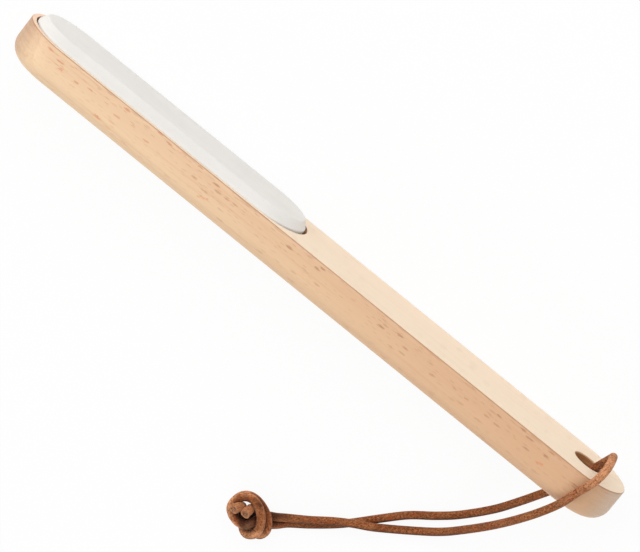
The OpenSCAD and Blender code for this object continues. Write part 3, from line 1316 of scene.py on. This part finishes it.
@dataclass(frozen=True)
class StoneForm:
    """The moulded stone: an upright wall, a sloping border that narrows at both tips, and a flat top."""

    middle: Triple = mm(69.2, -4.15, 17)
    length: float = 116.6 * MM
    half_width: float = 15.7 * MM
    wall_height: float = 3.5 * MM
    height: float = 6.4 * MM
    border: float = 4.5 * MM
    tip_border: float = 2.0 * MM
    edge_radius: float = 0.6 * MM
    ridge_radius: float = 2.0 * MM
    foot: float = 0.15 * MM
    slope_margin: float = 0.04
    corner_steps: int = 10
    end_steps: int = 72

    def corner(self, before: Vector, at: Vector, after: Vector, radius: float) -> list[Vector]:
        """Rounds the middle one of three corners of the side.

        Args:
            before: The corner before it.
            at: The corner to round.
            after: The corner after it.
            radius: The rounding's radius.

        Returns:
            The points of the rounding's arc.
        """
        back, on = (before - at).normalized(), (after - at).normalized()
        half = back.angle(on) / 2
        centre = at + (back + on).normalized() * (radius / math.sin(half))
        first = at + back * (radius / math.tan(half)) - centre
        last = at + on * (radius / math.tan(half)) - centre
        start, swing = math.atan2(first.y, first.x), math.atan2(first.cross(last), first.dot(last))
        turns = [start + swing * step / self.corner_steps for step in range(self.corner_steps + 1)]
        return [centre + Vector((math.cos(turn), math.sin(turn))) * radius for turn in turns]

    def side(self) -> list[Vector]:
        """Draws the stone's side at mid length, from its base to its top.

        Returns:
            Its points, each as half width and height.
        """
        low = Vector((self.half_width, 0.0))
        shoulder = Vector((self.half_width, self.wall_height))
        ridge = Vector((self.half_width - self.border, self.height))
        top = Vector((0.0, self.height))
        edge = self.corner(low, shoulder, ridge, self.edge_radius)
        crest = self.corner(shoulder, ridge, top, self.ridge_radius)
        slope = [edge[-1].lerp(crest[0], share) for share in (self.slope_margin, 1 - self.slope_margin)]
        inner = crest[-1] - Vector((self.foot, 0.0))
        return [low, edge[0] - Vector((0.0, self.foot)), *edge, *slope, *crest, inner]

    def outline(self, point: Vector) -> list[Triple]:
        """Draws the stone's outline at one point of its side.

        Args:
            point: The point, as half width and height.

        Returns:
            The outline's points, all the way round.
        """
        span = self.length / 2 - self.half_width
        reach = self.half_width - (self.half_width - point.x) * self.tip_border / self.border
        x, y, z = self.middle
        points = []
        for end in (1, -1):
            for step in range(self.end_steps + 1):
                turn = math.pi * (step / self.end_steps - 0.5)
                along = end * (span + reach * math.cos(turn))
                points.append((x + along, y - point.y, z + end * point.x * math.sin(turn)))
        return points

    def build(self, name: str) -> bpy.types.Object:
        """Builds the stone as a closed mesh.

        Args:
            name: The new piece's name.

        Returns:
            The new piece.
        """
        outlines = [self.outline(point) for point in self.side()]
        around = len(outlines[0])
        last = (len(outlines) - 1) * around
        faces = [tuple(reversed(range(around)))]
        for ring in range(len(outlines) - 1):
            faces += band(ring * around, (ring + 1) * around, around)
        faces.append(tuple(range(last, last + around)))
        points = [point for outline in outlines for point in outline]
        return placed(name, smooth_mesh(name, points, faces))


@dataclass
class FileBody:
    """The rigid file: the beech handle, the stone in its pocket and the adhesive under it."""

    beech: Beech = Beech()
    grit: AbrasiveGrit = AbrasiveGrit()
    adhesive: SetAdhesive = SetAdhesive()
    stone: StoneForm = StoneForm()

    def dress(self) -> list[bpy.types.Object]:
        """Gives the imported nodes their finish, and the stone its smooth form.

        Returns:
            The pieces that show.
        """
        finishes = {"handle": self.beech.material(), "adhesive_bed": self.adhesive.material()}
        for node, material in finishes.items():
            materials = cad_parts[node].data.materials
            materials.clear()
            materials.append(material)
        stone = self.stone.build("moulded_stone")
        stone.data.materials.append(self.grit.material())
        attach(stone, "file")
        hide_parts("abrasive_stone")
        return [*(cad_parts[node] for node in finishes), stone]


@dataclass(frozen=True)
class PhotoCamera:
    """The photograph's viewpoint: nearly overhead, with the handle running down to the right."""

    place: Triple = (-0.07747, -0.41058, 1.60559)
    right: Triple = (-0.77604, -0.60070, -0.19217)
    down: Triple = (-0.62905, 0.75915, 0.16730)
    lens: float = 269.83
    sensor: float = 36.0

    def stand(self) -> None:
        """Makes the scene's camera."""
        data = bpy.data.cameras.new("photo_camera")
        data.sensor_fit = "HORIZONTAL"
        data.sensor_width = self.sensor
        data.lens = self.lens
        camera = placed("photo_camera", data)
        right, up = Vector(self.right).normalized(), -Vector(self.down).normalized()
        back = right.cross(up)
        up = back.cross(right)
        turn = Matrix((right, up, back)).transposed().to_4x4()
        camera.matrix_world = Matrix.Translation(self.place) @ turn
        bpy.context.scene.camera = camera


@dataclass(frozen=True)
class SoftBox:
    """One square soft lamp that faces the file."""

    name: str
    place: Triple
    side: float
    power: float

    def hang(self, target: Triple) -> None:
        """Makes the lamp.

        Args:
            target: The place that it is turned to.
        """
        data = bpy.data.lights.new(self.name, "AREA")
        data.shape = "SQUARE"
        data.size = self.side
        data.energy = self.power
        lamp = placed(self.name, data)
        lamp.location = self.place
        aim = Vector(target) - Vector(self.place)
        lamp.rotation_mode = "QUATERNION"
        lamp.rotation_quaternion = aim.to_track_quat("-Z", "Y")


@dataclass(frozen=True)
class Studio:
    """A plain white floor and soft light from all round, strongest from the stone's side."""

    floor_side: float = 8.0
    floor_colour: Rgb = (244, 244, 244)
    white: Rgb = (255, 255, 255)
    floor_glow_share: float = 0.92
    ambient: float = 0.51
    target: Triple = (-0.01, 0.02, 0.02)
    lamps: tuple[SoftBox, ...] = (
        SoftBox("key_softbox", (0.2, -0.85, 1.15), 1.7, 11.6),
        SoftBox("head_softbox", (1.1, -0.1, 0.7), 0.6, 4.0),
        SoftBox("fill_softbox", (-0.35, 1.0, 0.5), 0.8, 3.2),
    )

    def light(self) -> None:
        """Makes the floor, the lamps and the white surroundings."""
        self.lay_floor()
        self.surround()
        for lamp in self.lamps:
            lamp.hang(self.target)
        bpy.context.scene.view_settings.view_transform = "Standard"

    def seen_rays(self, graph: ShaderGraph) -> Socket:
        """Tells what the camera sees directly, mirrored or through glass from what lights the file.

        Args:
            graph: The material or world that asks.

        Returns:
            1 for what the camera sees and 0 for lighting.
        """
        rays = graph.add("LightPath", {}).outputs
        seen = graph.math("MAXIMUM", rays["Is Camera Ray"], rays["Is Glossy Ray"])
        return graph.math("MAXIMUM", seen, rays["Is Transmission Ray"])

    def lay_floor(self) -> None:
        """Makes the floor, white to the eye, which keeps the file's soft shadow."""
        half = self.floor_side / 2
        corners = [(-half, -half, 0.0), (half, -half, 0.0), (half, half, 0.0), (-half, half, 0.0)]
        mesh = bpy.data.meshes.new("floor")
        mesh.from_pydata(corners, [], [(0, 1, 2, 3)])
        graph = ShaderGraph.named("studio_floor")
        matte = graph.add("BsdfDiffuse", {"Color": linear(self.floor_colour)})
        glow = graph.add("Emission", {"Color": linear(self.white), "Strength": 1.0})
        share = graph.times(self.seen_rays(graph), self.floor_glow_share)
        mixed = graph.add("MixShader", {0: share, 1: matte.outputs[0], 2: glow.outputs[0]})
        mesh.materials.append(graph.finish(mixed))
        placed("floor", mesh)

    def surround(self) -> None:
        """Makes the world: white to the eye, and a weaker even light on the file."""
        graph = ShaderGraph(bpy.data.worlds.new("studio_world"))
        spare = graph.times(self.seen_rays(graph), 1 - self.ambient)
        strength = graph.math("ADD", spare, self.ambient)
        sky = graph.add("Background", {"Color": linear(self.white), "Strength": strength})
        bpy.context.scene.world = graph.finish(sky)


def main() -> None:
    """Builds the scene, camera and cord first, and reports each piece."""
    logging.basicConfig(level=logging.INFO, format="%(name)s: %(message)s")
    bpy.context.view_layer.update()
    PhotoCamera().stand()
    pieces = HangingCord().tie(SuedeLeather().material(), CutLeather().material())
    pieces += FileBody().dress()
    Studio().light()
    for piece in pieces:
        LOG.info("%s: %d faces of %s", piece.name, len(piece.data.polygons), piece.data.materials[0].name)


if __name__ == "__main__":
    main()
